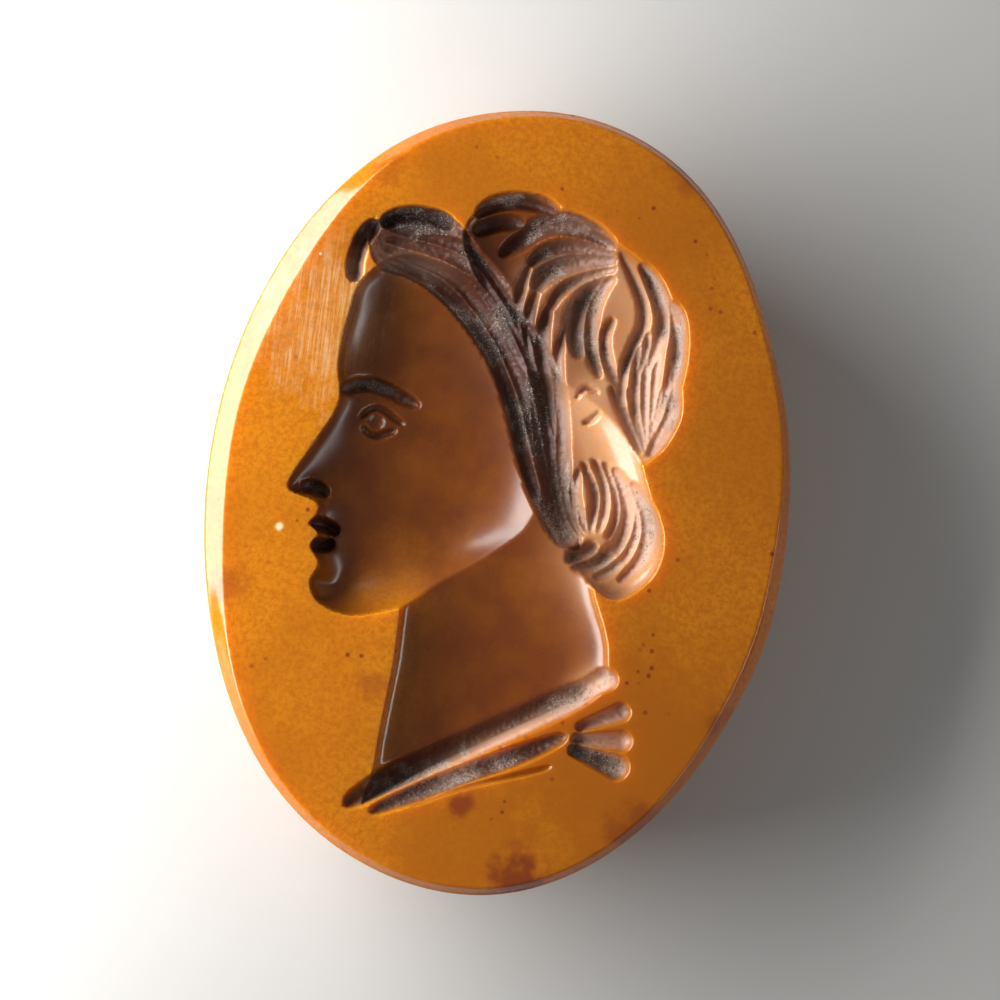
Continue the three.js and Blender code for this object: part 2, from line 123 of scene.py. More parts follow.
# How a cut is worked out: a curve's steps, the room round a cut, and the grid that softens a floor.
CURVE_STEPS = 6
CLEAR = 0.5
FAR = 5.0
GRID_STEP = 0.03
FLOOR_BLUR = 0.22
WALL_SLOPE = 6
LEAST_SWELL = 0.15
POLISH_WAVE = 0.012

# How the face is meshed: finely inside a busy window, and most finely near the carving's edges.
CROSSING_HALVINGS = 7
SNAP = 0.35
RIM_CLEAR = 0.1
BUSY_WIDTH = 8.6
BUSY_LOW = -6.9
BUSY_HIGH = 6.2
COARSE_STEPS = 8
FINE_BAND = 0.12
MESH_GAPS = ((0.03, 2), (0.09, 4), (0.3, 8), (1.0, 16))
MERGE_WITHIN = 1e-7

# Each light has a size, an azimuth, an elevation and a distance.
LEFT_LIGHT = ((0.042, 0.016), 173, 28, 0.027)
RIGHT_LIGHT = ((0.03, 0.004), -15, 20, 0.045)


def bumps(rises, degrees):
    """The sum of soft rises round the rim."""
    turns = [(degrees - at + 540) % 360 - 180 for at, _, _ in rises]
    return sum(rise * np.exp(-((turn / spread) ** 2)) for turn, (_, rise, spread) in zip(turns, rises))


def rim_radius(degrees):
    """How far the rim is from the oval's centre at each angle."""
    a = np.radians(degrees)
    oval = 1 / np.hypot(np.cos(a) / (OVAL_WIDTH / 2), np.sin(a) / (OVAL_LENGTH / 2))
    return oval + bumps(RIM_RISES, degrees)


def smoothstep(value, low, high):
    t = np.clip((value - low) / (high - low), 0, 1)
    return t * t * (3 - 2 * t)


def smooth_curve(points, closed):
    """A smooth curve through points, as short straight steps."""
    p = np.array(points, float)
    n = len(p)
    made = []
    for i in range(n if closed else n - 1):
        near = [(i + k) % n if closed else min(max(i + k, 0), n - 1) for k in (-1, 0, 1, 2)]
        a, b, c, d = p[near]
        for t in np.arange(CURVE_STEPS) / CURVE_STEPS:
            bend = (2 * a - 5 * b + 4 * c - d) * t * t + (3 * b - a - 3 * c + d) * t**3
            made.append(b + ((c - a) * t + bend) / 2)
    return np.array(made if closed else [*made, p[-1]])


def nearest(line, x, y, closed):
    """How far each place is from a line of steps, and how far along the line that is, from 0 to 1."""
    best, along = np.full(x.shape, np.inf), np.zeros(x.shape)
    ends = np.roll(line, -1, axis=0)
    spans = len(line) if closed else len(line) - 1
    for i in range(spans):
        (ax, ay), (dx, dy) = line[i], ends[i] - line[i]
        t = np.clip(((x - ax) * dx + (y - ay) * dy) / (dx * dx + dy * dy), 0, 1)
        distance = np.hypot(x - ax - t * dx, y - ay - t * dy)
        closer = distance < best
        best[closer] = distance[closer]
        along[closer] = (i + t[closer]) / spans
    return best, along


def inside(line, x, y):
    """Whether each place lies inside a closed line."""
    odd = np.zeros(x.shape, bool)
    for (ax, ay), (bx, by) in zip(line, np.roll(line, 1, axis=0)):
        if ay != by:
            odd ^= ((ay > y) != (by > y)) & (x < (bx - ax) * (y - ay) / (by - ay) + ax)
    return odd


def sample(grid, u, v):
    """A value between the four corners of a grid's cell."""
    i, j = np.floor(u).astype(int), np.floor(v).astype(int)
    s, t = u - i, v - j
    i, j = i % grid.shape[0], j % grid.shape[1]
    k, m = (i + 1) % grid.shape[0], (j + 1) % grid.shape[1]
    return (grid[i, j] * (1 - s) + grid[k, j] * s) * (1 - t) + (grid[i, m] * (1 - s) + grid[k, m] * s) * t


def noise(seed, size):
    """Seeded noise from -1 to 1 with features of a given size."""
    grid = np.random.default_rng(seed).uniform(-1, 1, (256, 256))
    return lambda x, y: sample(grid, x / size, y / size)


def softened(cut, low, high):
    """A blurred copy of a cut's floor, kept on a grid, which takes away the creases along its middle."""
    axes = [np.arange(a, b, GRID_STEP) for a, b in zip(low, high)]
    x, y = np.meshgrid(*axes, indexing="ij")
    floor = np.maximum(cut(x.ravel(), y.ravel()), 0).reshape(x.shape)
    reach = int(3 * FLOOR_BLUR / GRID_STEP)
    weights = np.exp(-((np.arange(-reach, reach + 1) * GRID_STEP / FLOOR_BLUR) ** 2) / 2)
    weights /= weights.sum()
    for axis in (0, 1):
        floor = np.apply_along_axis(np.convolve, axis, floor, weights, "same")
    return lambda x, y: sample(floor, (x - low[0]) / GRID_STEP, (y - low[1]) / GRID_STEP)


def dish(centre, radii, turn, depth):
    """A soft shallow dish without an edge, which models a floor. A negative depth raises the floor."""
    c, s = math.cos(math.radians(turn)), math.sin(math.radians(turn))

    def bed(x, y):
        dx, dy = x - centre[0], y - centre[1]
        return depth * np.exp(-(((c * dx + s * dy) / radii[0]) ** 2) - ((c * dy - s * dx) / radii[1]) ** 2)

    return bed


def hollow(points, depth, wall, dishes=()):
    """A spoon-shaped hollow. Like every cut, it gives depths, and minus the distance where it is outside."""
    line = smooth_curve(points, closed=True)

    def sharp(x, y):
        distance, _ = nearest(line, x, y, closed=True)
        floor = depth * np.sqrt(1 - (1 - np.minimum(distance / wall, 1)) ** 2)
        return np.where(inside(line, x, y), floor, -distance)

    soft = softened(sharp, line.min(axis=0) - CLEAR, line.max(axis=0) + CLEAR)

    def cut(x, y):
        made = sharp(x, y)
        deep = smoothstep(made, 0.3 * depth, 0.85 * depth)
        made += (soft(x, y) - made) * deep
        return made + deep * sum(bed(x, y) for bed in dishes)

    return cut


def above(start, end, cut):
    """The part of a cut above a straight line, with a steep wall along that line."""
    (x0, y0), (x1, y1) = start, end
    slope = WALL_SLOPE / math.hypot(x1 - x0, y1 - y0)
    return lambda x, y: np.minimum(cut(x, y), slope * ((x1 - x0) * (y - y0) - (y1 - y0) * (x - x0)))


def groove(wheel, *points):
    """One groove of a small wheel, round across, shallower and narrower where the wheel goes in and out."""
    half, depth, taper = wheel
    line = smooth_curve(points, closed=False)
    low, high = line.min(axis=0) - CLEAR, line.max(axis=0) + CLEAR

    def cut(x, y):
        made = np.full(x.shape, -FAR)
        near = (x > low[0]) & (x < high[0]) & (y > low[1]) & (y < high[1])
        distance, along = nearest(line, x[near], y[near], closed=False)
        end = np.minimum(1, np.minimum(along, 1 - along) / taper)
        swell = LEAST_SWELL + (1 - LEAST_SWELL) * np.sqrt(1 - (1 - end) ** 2)
        beyond = distance - swell * half
        made[near] = np.where(beyond > 0, -beyond, swell * depth * (1 - (distance / (swell * half)) ** 2))
        return made

    return cut


def ball(centre, radius, depth):
    """A round hollow of the ball drill."""

    def cut(x, y):
        distance = np.hypot(x - centre[0], y - centre[1])
        return np.where(distance > radius, radius - distance, depth * (1 - (distance / radius) ** 2))

    return cut


def grooves(*rows):
    """A groove for each row, which gives its wheel and then its points."""
    return [groove(*row) for row in rows]


def comb(wheel, count, first, last, sway, seed):
    """Grooves that go step by step from a first line to a last one, cut by an unsteady hand."""
    rng = np.random.default_rng(seed)
    first, last = np.array(first, float), np.array(last, float)
    half, depth, taper = wheel
    made = []
    for k in range(count):
        points = first + (last - first) * k / (count - 1) + rng.uniform(-sway, sway, first.shape)
        size = 1 + rng.uniform(-0.15, 0.15)
        made.append(groove((half * size, depth * size, taper), *points))
    return made


def face_hollow():
    """The face in profile, on the thirds of the canon, with a soft cheek, chin, eye socket and forehead."""
    f, n, t = FACE_X, NOSE_LENGTH, THIRD
    outline = (
        (f + 0.3, HAIRLINE_Y + 0.1), (f + 0.06, HAIRLINE_Y - 0.35 * t), (f, BROW_Y + 0.22 * t),
        (f + 0.1, BROW_Y - 0.14 * t), (f - 0.5 * n, NOSE_Y + 0.42 * t), (f - 0.97 * n, NOSE_Y + 0.13 * t),
        (f - 0.9 * n, NOSE_Y + 0.01 * t), (f - 0.06, NOSE_Y - 0.06 * t), (f - 0.02, NOSE_Y - 0.16 * t),
        (f - 0.14, MOUTH_Y + 0.08 * t), (f + 0.05, MOUTH_Y), (f - 0.06, MOUTH_Y - 0.12 * t),
        (f + 0.14, MOUTH_Y - 0.27 * t), (f + 0.02, CHIN_Y + 0.22 * t), (f + 0.3, CHIN_Y + 0.03 * t),
        (f + 1.1, CHIN_Y - 0.02 * t), (f + 2.6, CHIN_Y + 0.27 * t), (f + 3.8, CHIN_Y + 0.62 * t),
        (f + 4.4, NOSE_Y), (f + 4.1, BROW_Y), (f + 2.9, HAIRLINE_Y), (f + 1.2, HAIRLINE_Y + 0.3 * t),
    )
    dishes = (
        dish((f + 0.62, CHIN_Y + 0.24 * t), (0.5, 0.5), 0, 0.16),
        dish((f + 2.5, NOSE_Y - 0.1 * t), (1.1, 0.9), -25, 0.2),
        dish((f + 1.15, BROW_Y - 0.25 * t), (0.75, 0.42), 0, -0.12),
        dish((f + 1.6, BROW_Y + 0.45 * t), (1.4, 0.6), 0, 0.05),
    )
    return hollow(outline, *FACE_FORM, dishes)


def feature_grooves():
    """Brow, eye, nostril and lips, set out from the thirds of the face."""
    f = FACE_X
    x, y = f + 0.9, BROW_Y - 0.24 * THIRD
    pupil = [ball((x, y), 0.2, 0.1)]
    return pupil + grooves(
        (BROW, (f + 0.12, BROW_Y - 0.04), (f + 0.75, BROW_Y + 0.18), (f + 1.7, BROW_Y - 0.1)),
        (EYELID, (x - 0.32, y + 0.02), (x + 0.02, y + 0.25), (x + 0.55, y)),
        (EYELID, (x - 0.26, y - 0.14), (x + 0.05, y - 0.27), (x + 0.42, y - 0.1)),
        (NOSTRIL, (f - 0.36, NOSE_Y + 0.16), (f - 0.05, NOSE_Y + 0.17), (f + 0.2, NOSE_Y + 0.05)),
        (LIP, (f - 0.08, MOUTH_Y + 0.2), (f + 0.2, MOUTH_Y + 0.18), (f + 0.5, MOUTH_Y + 0.08)),
        (LIP, (f - 0.02, MOUTH_Y - 0.2), (f + 0.2, MOUTH_Y - 0.2), (f + 0.44, MOUTH_Y - 0.1)),
    )


def skull_hollow():
    outline = (
        (-1.35, 4.9), (-1.15, 5.4), (-0.3, 5.8), (0.6, 5.55), (1.7, 5.1), (2.5, 4.55), (3.05, 3.7),
        (3.16, 2.8), (3.1, 2.0), (2.68, 1.05), (2.0, 1.35), (1.2, 1.5), (0.3, 2.2), (-0.35, 3.2),
        (-1.0, 4.2),
    )
    return hollow(outline, *SKULL_FORM)


def knot_hollow():
    outline = (
        (0.3, 2.9), (1.2, 2.55), (1.93, 2.15), (2.45, 1.35), (2.85, 0.45), (3.2, -0.25), (3.14, -0.95),
        (2.7, -1.48), (2.25, -1.58), (1.6, -1.12), (1.1, -0.85), (0.8, -0.2), (0.5, 0.7), (0.2, 1.8),
    )
    return hollow(outline, *KNOT_FORM)


def neck_hollow():
    outline = (
        (-1.6, -1.0), (-1.6, -3.2), (-1.7, -5.2), (-1.6, -7.4), (2.0, -7.4), (2.7, -5.0), (2.47, -2.82),
        (2.33, -2.2), (1.95, -1.28), (1.6, 0.4), (-1.2, 0.4),
    )
    return above((-2.08, -6.24), (2.62, -3.24), hollow(outline, *NECK_FORM))


def roll_hollow():
    """The thick roll of hair from the forehead over the temple to the nape."""
    outline = (
        (-2.95, 4.12), (-2.3, 3.98), (-1.75, 3.76), (-1.15, 3.3), (-0.5, 2.55), (-0.1, 1.75), (0.3, 0.75),
        (0.75, -0.1), (1.25, -0.68), (1.7, -0.66), (1.55, 0.0), (1.3, 1.0), (1.1, 2.0), (0.6, 3.0),
        (-0.1, 3.7), (-0.85, 4.5), (-1.5, 5.15), (-2.1, 5.3), (-2.9, 5.05), (-3.12, 4.6),
    )
    return hollow(outline, *ROLL_FORM)


ROLL_FIRST = ((-2.85, 4.28), (-1.6, 3.95), (-0.62, 3.1), (0.0, 2.0), (0.42, 0.95), (0.9, 0.0), (1.5, -0.6))
ROLL_LAST = ((-2.75, 4.85), (-1.2, 4.62), (-0.1, 3.55), (0.72, 2.6), (1.05, 1.5), (1.22, 0.5), (1.62, -0.45))

BACK_FIRST = ((2.32, 3.4), (2.28, 2.8), (2.42, 2.0), (2.62, 1.35))
BACK_LAST = ((2.88, 3.3), (2.93, 2.7), (2.88, 2.1), (2.7, 1.4))


def roll_locks():
    combed = [
        *comb(ROLL_LOCK, 4, ROLL_FIRST, ROLL_LAST, 0.03, 1),
        *comb(HAIR_LINE, 9, ROLL_FIRST, ROLL_LAST, 0.06, 2),
    ]
    return combed + grooves(
        (FRONT_LOCK, (-3.28, 3.72), (-3.33, 4.11), (-3.24, 4.57), (-3.0, 4.95)),
        (FRONT_LOCK, (-2.95, 4.9), (-2.5, 5.13), (-2.0, 5.17), (-1.55, 5.05)),
        (NARROW, (-0.52, 3.55), (-0.03, 2.95), (0.29, 2.5)),
        (NARROW, (0.0, 4.55), (-0.12, 4.0), (-0.1, 3.52), (0.05, 3.1)),
        (NARROW, (0.24, 4.3), (0.13, 3.8), (0.12, 3.4), (0.2, 2.95), (0.37, 2.5)),
        (MIDDLE, (0.48, 3.85), (0.42, 3.3), (0.49, 2.85), (0.63, 2.42), (0.77, 1.98), (0.97, 1.3)),
        (NARROW, (0.86, 3.55), (0.76, 3.0), (0.82, 2.52), (0.9, 2.03), (1.04, 1.5)),
    )


def crown_locks():
    """Locks that sweep up over the head and meet at the crown."""
    return grooves(
        (MIDDLE, (-1.17, 5.31), (-0.88, 5.55), (-0.4, 5.71), (0.1, 5.69), (0.41, 5.54)),
        (MIDDLE, (-1.15, 4.98), (-0.9, 5.16), (-0.55, 5.29), (-0.18, 5.3)),
        (BROAD, (-0.59, 4.64), (-0.22, 5.0), (0.11, 5.29), (0.55, 5.42), (1.06, 5.32), (1.55, 5.07)),
        (MIDDLE, (-0.01, 4.53), (0.22, 4.79), (0.61, 4.97), (1.11, 5.01), (1.57, 4.93)),
        (BROAD, (0.18, 4.06), (0.28, 4.36), (0.62, 4.62), (1.13, 4.81), (1.62, 4.86)),
        (NARROW, (0.46, 3.66), (0.61, 4.07), (0.9, 4.36), (1.33, 4.59), (1.64, 4.71)),
        (NARROW, (0.83, 3.4), (0.93, 3.83), (1.13, 4.23), (1.54, 4.55)),
        (BROAD, (1.2, 2.91), (1.06, 3.35), (1.06, 3.8), (1.22, 4.2), (1.51, 4.45)),
        (MIDDLE, (1.62, 2.59), (1.37, 3.22), (1.31, 3.84), (1.41, 4.27), (1.63, 4.54)),
    )


def back_locks():
    """Long locks from the crown down the back of the head to the nape, round one smooth oval."""
    combed = comb(NARROW, 4, BACK_FIRST, BACK_LAST, 0.03, 3)
    return combed + grooves(
        (NARROW, (2.06, 2.4), (1.72, 2.94), (1.61, 3.42), (1.73, 3.77)),
        (
            NARROW, (1.67, 5.01), (1.95, 4.63), (2.22, 4.17), (2.3, 3.72), (2.17, 3.25), (2.06, 2.7),
            (2.14, 2.02), (2.59, 1.26),
        ),
        (MIDDLE, (2.08, 4.85), (2.33, 4.56), (2.54, 4.21), (2.68, 3.82), (2.62, 3.31), (2.43, 2.62)),
        (MIDDLE, (2.71, 4.19), (2.89, 3.93), (3.0, 3.44), (3.02, 2.95), (3.03, 2.45)),
        (NARROW, (2.42, 3.61), (2.44, 3.12), (2.23, 2.51)),
        (NARROW, (1.84, 2.47), (2.14, 2.02), (2.4, 1.58), (2.59, 1.26)),
        (NARROW, (2.19, 2.52), (2.44, 1.97), (2.65, 1.29)),
        (NARROW, (2.85, 2.61), (2.8, 2.08), (2.68, 1.48)),
        (MIDDLE, (3.03, 2.66), (3.04, 2.07), (2.9, 1.63), (2.72, 1.22)),
        (CURL, (1.22, 2.15), (1.38, 2.36), (1.65, 2.3)),
        (CURL, (1.42, 1.7), (1.58, 1.78), (1.7, 1.95)),
    )


def knot_locks():
    """Locks that curl round one another in a knot at the nape."""
    return grooves(
        (NARROW, (1.03, 1.13), (1.05, 0.61), (1.23, 0.05), (1.54, -0.49)),
        (NARROW, (1.25, 0.75), (1.28, 0.35), (1.49, -0.15), (1.76, -0.41)),
        (NARROW, (1.48, 0.84), (1.45, 0.37), (1.6, -0.05), (1.82, -0.37)),
        (NARROW, (1.52, 0.97), (1.83, 0.42), (1.86, -0.01), (1.85, -0.37)),
        (NARROW, (1.71, 1.05), (1.98, 0.62), (2.07, 0.16), (1.99, -0.32)),
        (NARROW, (1.92, 1.02), (2.23, 0.48), (2.3, -0.04), (2.18, -0.44)),
        (MIDDLE, (2.11, 0.93), (2.42, 0.44), (2.52, -0.01), (2.39, -0.53), (2.14, -0.79)),
        (NARROW, (2.31, 0.78), (2.64, 0.24), (2.73, -0.22), (2.59, -0.7), (2.29, -1.04)),
        (MIDDLE, (2.46, 0.68), (2.83, 0.15), (2.95, -0.3), (2.84, -0.79), (2.49, -1.22)),
        (MIDDLE, (1.42, -0.92), (1.7, -0.8), (2.02, -0.58)),
        (MIDDLE, (1.56, -1.05), (1.96, -0.97), (2.22, -0.73), (2.44, -0.43)),
        (NARROW, (1.99, -1.2), (2.31, -1.01), (2.57, -0.74)),
    )


# The cloak's right end: each lobe has a start, an end, a half width and a depth.
LOBES = (
    ((1.9, -3.45), (2.46, -3.1), 0.25, 0.22),
    ((2.1, -4.05), (2.82, -3.68), 0.21, 0.18),
    ((2.05, -4.3), (2.9, -4.22), 0.23, 0.18),
    ((2.05, -4.5), (2.86, -4.72), 0.28, 0.24),
)


def lobe(start, end, half, depth):
    """A short fat groove that widens towards its round end."""
    line = np.array([start, end])

    def cut(x, y):
        distance, along = nearest(line, x, y, closed=False)
        reach = half * (0.6 + 0.4 * along)
        beyond = distance - reach
        return np.where(beyond > 0, -beyond, depth * (1 - (distance / reach) ** 2))

    return cut


def cloak_folds():
    lobes = [lobe(*shape) for shape in LOBES]
    return lobes + grooves(
        (
            WIDE_FOLD, (-2.16, -6.12), (-1.38, -5.54), (-0.36, -4.92), (0.68, -4.28), (1.74, -3.62),
            (2.48, -3.1),
        ),
        (NARROW_FOLD, (-1.66, -6.18), (-0.85, -5.71), (-0.06, -5.27), (1.04, -4.72), (1.87, -4.25)),
        (THIN_FOLD, (-0.9, -5.98), (-0.1, -5.54), (1.24, -5.04), (1.66, -4.86)),
    )


def deepest(cuts, x, y):
    return np.max([cut(x, y) for cut in cuts], axis=0)


class Carving:
    """Everything that is cut into the face. Each round is cut into what the one before has left."""

    def __init__(self, tooth):
        self.forms = [face_hollow(), skull_hollow(), knot_hollow(), neck_hollow()]
        self.roll = roll_hollow()
        self.locks = [*roll_locks(), *crown_locks(), *back_locks(), *knot_locks()]
        self.others = [*feature_grooves(), *cloak_folds()]
        self.tooth = tooth
        self.grain = noise(21, 0.05)
        self.waver = noise(22, 0.3)
        self.polish = noise(23, 0.55)

    def outside(self, x, y):
        """How far each place is outside every cut. It is below zero inside a cut."""
        return -deepest([*self.forms, self.roll, *self.locks, *self.others], x, y)

    def __call__(self, x, y):
        """The depth at each place, how much of that is worked by small wheels, and how far outside it is."""
        forms, roll = deepest(self.forms, x, y), self.roll(x, y)
        grooves = deepest([*self.locks, *self.others], x, y)
        outside = -np.maximum(np.maximum(forms, roll), grooves)
        worked = np.maximum(grooves, 0) + np.maximum(roll, 0)
        unevenness = self.grain(x, y) + 0.8 * self.waver(x, y)
        rough = self.tooth * np.minimum(worked / FULLY_ROUGH, 1) * unevenness
        wave = POLISH_WAVE * self.polish(x, y) * smoothstep(forms, 0.1, 0.4)
        depth = np.maximum(forms, 0) + worked + rough + wave
        return np.where(outside < 0, np.maximum(depth, 0), 0), worked, outside


def face_lattice(step):
    """Places on a lattice of even triangles over the oval, each with its column and row on that lattice."""
    rise = step * math.sqrt(3) / 2
    rows, columns = math.ceil(OVAL_LENGTH / 2 / rise), math.ceil(OVAL_WIDTH / step)
    column, row = np.meshgrid(np.arange(-columns, columns), np.arange(-rows, rows))
    x, y = step * (column + row / 2), rise * row
    kept = np.abs(x) < OVAL_WIDTH / 2
    return x[kept], y[kept], column[kept], row[kept]


def mesh_gap(worked, outside):
    """How many lattice steps lie between mesh points: one where the carving is fine, many on the field."""
    gap = np.full(outside.shape, 2)
    gap[(worked > 0) | (np.abs(outside) < FINE_BAND)] = 1
    for distance, steps in MESH_GAPS:
        gap[outside > distance] = steps
    return gap


def edge_crossings(carving, x, y, outside, a, b):
    """How far along each line from mesh point a to mesh point b the edge of the carving is."""
    low, high = np.zeros(len(a)), np.ones(len(a))
    for _ in range(CROSSING_HALVINGS):
        middle = (low + high) / 2
        level = carving.outside(x[a] + (x[b] - x[a]) * middle, y[a] + (y[b] - y[a]) * middle)
        same = (level > 0) == (outside[a] > 0)
        low, high = np.where(same, middle, low), np.where(same, high, middle)
    return low


def neighbours(column, row):
    """Every pair of mesh points that are side by side on the finest lattice, in its three directions."""
    index = np.full((np.ptp(row) + 3, np.ptp(column) + 3), -1)
    i, j = row - row.min() + 1, column - column.min() + 1
    points = np.arange(len(row))
    index[i, j] = points
    beside = [index[i + di, j + dj] for di, dj in ((0, 1), (1, 0), (1, -1))]
    return [(points[near >= 0], near[near >= 0]) for near in beside]


def carved_points(carving, step, rim):
    """Mesh points for the carved face, with a row along every edge: x, y, depth and how far it is worked."""
    x, y, column, row = face_lattice(step)
    on_face = np.hypot(x, y) < rim(np.degrees(np.arctan2(y, x))) - RIM_CLEAR
    coarse = (column % COARSE_STEPS == 0) & (row % COARSE_STEPS == 0)
    busy = (np.abs(x) < BUSY_WIDTH / 2) & (y > BUSY_LOW) & (y < BUSY_HIGH)
    picked = on_face & (coarse | busy)
    x, y, column, row = x[picked], y[picked], column[picked], row[picked]
    depth, worked, outside = carving(x, y)
    gap = mesh_gap(worked, outside)
    kept = (column % gap == 0) & (row % gap == 0)
    every = (x, y, column, row, depth, worked, outside)
    x, y, column, row, depth, worked, outside = (values[kept] for values in every)

    crossings = []
    for a, b in neighbours(column, row):
        crossed = (outside[a] > 0) != (outside[b] > 0)
        a, b = a[crossed], b[crossed]
        way = edge_crossings(carving, x, y, outside, a, b)
        crossings.append((a, b, way, x[a] + (x[b] - x[a]) * way, y[a] + (y[b] - y[a]) * way))
    added = []
    for a, b, way, edge_x, edge_y in crossings:
        for near, ends in ((way < SNAP, a), (way > 1 - SNAP, b)):
            x[ends[near]], y[ends[near]], depth[ends[near]] = edge_x[near], edge_y[near], 0
        free = (way >= SNAP) & (way <= 1 - SNAP)
        added.append(np.array([edge_x[free], edge_y[free]]))
    added_x, added_y = np.concatenate(added, axis=1)
    nothing = np.zeros(len(added_x))
    pairs = ((x, added_x), (y, added_y), (depth, nothing), (worked, nothing))
    return [np.concatenate(pair) for pair in pairs]


def rim_profile(degrees):
    """Rings from the edge of the carved face down to the back, each with its inset and its height."""
    bevel = BEVEL_WIDTH + bumps(BEVEL_FACETS, degrees)
    swing = np.radians(np.linspace(GIRDLE_SWEEP, -GIRDLE_SWEEP, 7))
    waist = THICKNESS - GIRDLE_DROP
    girdle = [(GIRDLE_ROUND * (1 - math.cos(a)), waist + GIRDLE_ROUND * math.sin(a)) for a in swing]
    (upper, top), (lower, bottom) = girdle[0], girdle[-1]
    edge = upper + bevel
    down = [(edge - bevel * s, THICKNESS + (top - THICKNESS) * s) for s in (0.1, 0.5, 0.92)]
    soft = (edge + (ARRIS - 0.1 * bevel) / 4, THICKNESS + (top - THICKNESS) * 0.025)
    in_by, down_by = BACK_INSET - lower, BACK_EDGE_ROUND - bottom
    side = [(lower + in_by * s, bottom + down_by * s) for s in (0.03, 0.35, 0.65, 0.97)]
    turn = np.radians(np.linspace(0, 90, 6))
    r = BACK_EDGE_ROUND
    back = [(BACK_INSET + r * (1 - math.cos(a)), r * (1 - math.sin(a))) for a in turn]
    flat_back = (BACK_INSET + 1.3 * r, 0)
    return [(edge + ARRIS, THICKNESS), soft, *down, *girdle, *side, *back, flat_back]


def stone_mesh(carving, step):
    """The whole stone as points, triangles and squares, with the marks that the jasper's finish reads."""
    degrees = np.arange(RIM_STEPS) * 360 / RIM_STEPS
    outward = np.array([np.cos(np.radians(degrees)), np.sin(np.radians(degrees))])
    radius = rim_radius(degrees)
    rings = [((radius - inset) * outward, height) for inset, height in rim_profile(degrees)]
    widest = radius * outward
    middle = (widest.min(axis=1) + widest.max(axis=1)) / 2

    def edge_of(angles):
        return np.interp(angles % 360, degrees, np.hypot(*rings[0][0]), period=360)

    x, y, depth, worked = carved_points(carving, step, edge_of)
    guard = rings[0][0] - ARRIS * outward
    flat = np.concatenate([rings[0][0], guard, [x, y]], axis=1).T
    depth = np.concatenate([np.zeros(2 * RIM_STEPS), depth])
    worked = np.concatenate([np.zeros(2 * RIM_STEPS), worked])
    loop = [(k, (k + 1) % RIM_STEPS) for k in range(RIM_STEPS)]
    flat = [Vector(p) for p in flat]
    places, _, triangles, sources, _, _ = delaunay_2d_cdt(flat, loop, [], 1, MERGE_WITHIN, True)
    first = np.array([source[0] for source in sources])
    places = np.array(places)
    depth, worked = depth[first], worked[first]
    ring = np.empty(RIM_STEPS, int)
    for k, source in enumerate(sources):
        for s in source:
            if s < RIM_STEPS:
                ring[s] = k

    points = [np.column_stack([places, THICKNESS - depth])]
    faces = [list(f) for f in triangles]
    count = len(places)
    for xy, height in rings[1:]:
        below = np.arange(count, count + RIM_STEPS)
        points.append(np.column_stack([xy.T, np.full(RIM_STEPS, height)]))
        for a, b in loop:
            faces.append([ring[a], below[a], below[b], ring[b]])
        ring, count = below, count + RIM_STEPS
    points.append([[*middle, 0]])
    faces += [[ring[b], ring[a], count] for a, b in loop]
    points = np.concatenate(points) - [*middle, 0]
    marks = np.zeros((2, len(points)))
    marks[:, : len(depth)] = depth, worked
    return points * MM, faces, marks


def new_object(name, points, faces, material):
    mesh = bpy.data.meshes.new(name)
    mesh.from_pydata(points, [], faces)
    mesh.shade_smooth()
    mesh.materials.append(material)
    made = bpy.data.objects.new(name, mesh)
    bpy.context.scene.collection.objects.link(made)
    return made


def give(mesh, name, values):
    """Stores one number at each point of a mesh."""
    attribute = mesh.attributes.new(name, "FLOAT", "POINT")
    attribute.data.foreach_set("value", np.asarray(values, np.float32))


class Wiring:
    """Adds nodes to a tree and joins them."""

    def __init__(self, tree):
        self.nodes, self.links = tree.nodes, tree.links

    def add(self, kind, settings=None, **inputs):
        node = self.nodes.new(kind)
        for key, value in (settings or {}).items():
            setattr(node, key, value)
        self.wire(node, **inputs)
        return node

    def wire(self, node, **inputs):
        """Gives a node's inputs their values. An underscore stands for a space in an input's name."""
        for key, value in inputs.items():
            self.put(node.inputs[key.replace("_", " ")], value)

    def put(self, socket, value):
        if isinstance(value, bpy.types.NodeSocket):
            self.links.new(value, socket)
        else:
            socket.default_value = value


